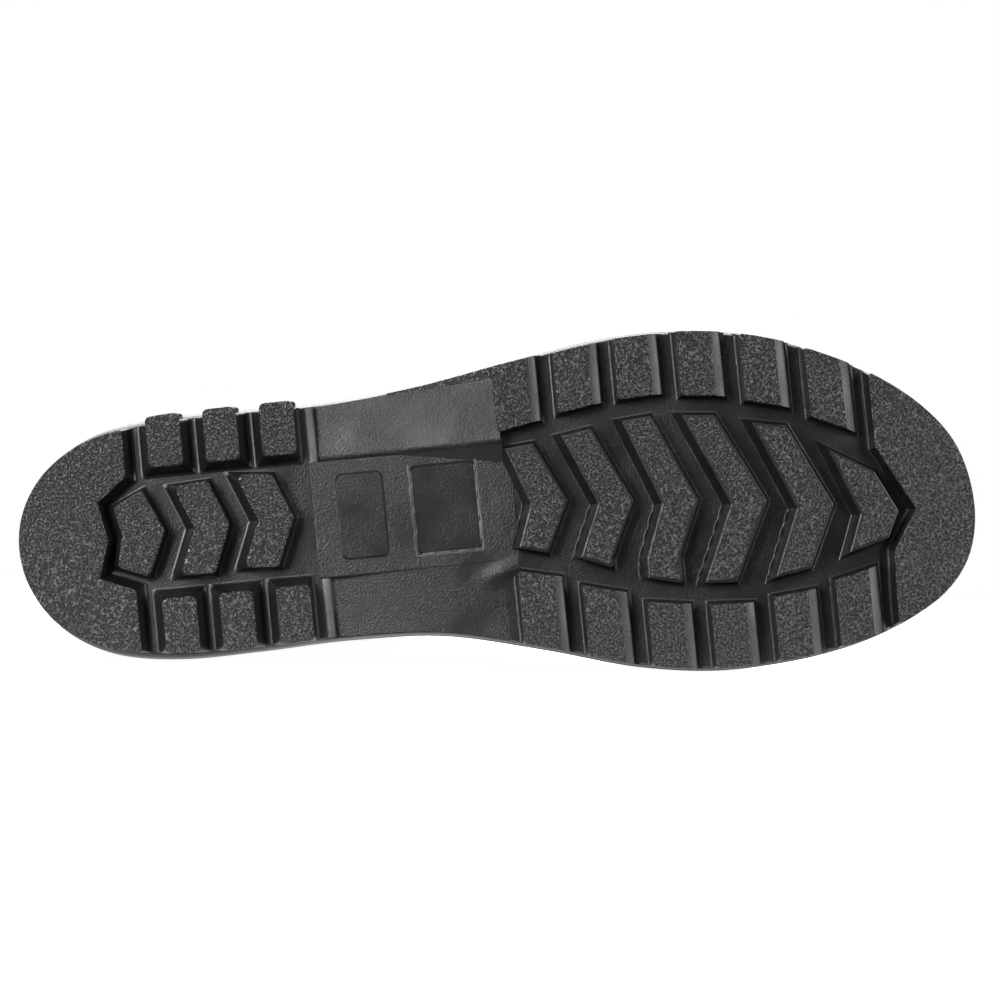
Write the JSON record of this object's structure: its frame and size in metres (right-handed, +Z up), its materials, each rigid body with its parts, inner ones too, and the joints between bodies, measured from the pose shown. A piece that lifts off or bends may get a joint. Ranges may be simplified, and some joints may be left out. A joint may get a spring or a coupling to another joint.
{
  "type": "pvc work boot",
  "caption": "Knee-high moulded PVC work boot for the right foot, lying on its side: hollow upper with an open collar, insole, and lugged outsole with a low heel.",
  "frame": {"origin": "on the floor, under the middle of the bounding box of the lying boot", "axes": "+Z up from the floor, +X from heel to toe along the sole's length, +Y from the tread towards the collar"},
  "size_m": [0.3134, 0.3668, 0.1078],
  "materials": {
    "upper_pvc": "satin black PVC",
    "outsole_pvc": "black PVC, grained tread faces and smooth satin grooves",
    "insole_foam": "grey fabric-faced foam"
  },
  "bodies": {
    "root": {"upper": "upper_pvc", "outsole": "outsole_pvc", "insole": "insole_foam"}
  },
  "joints": []
}
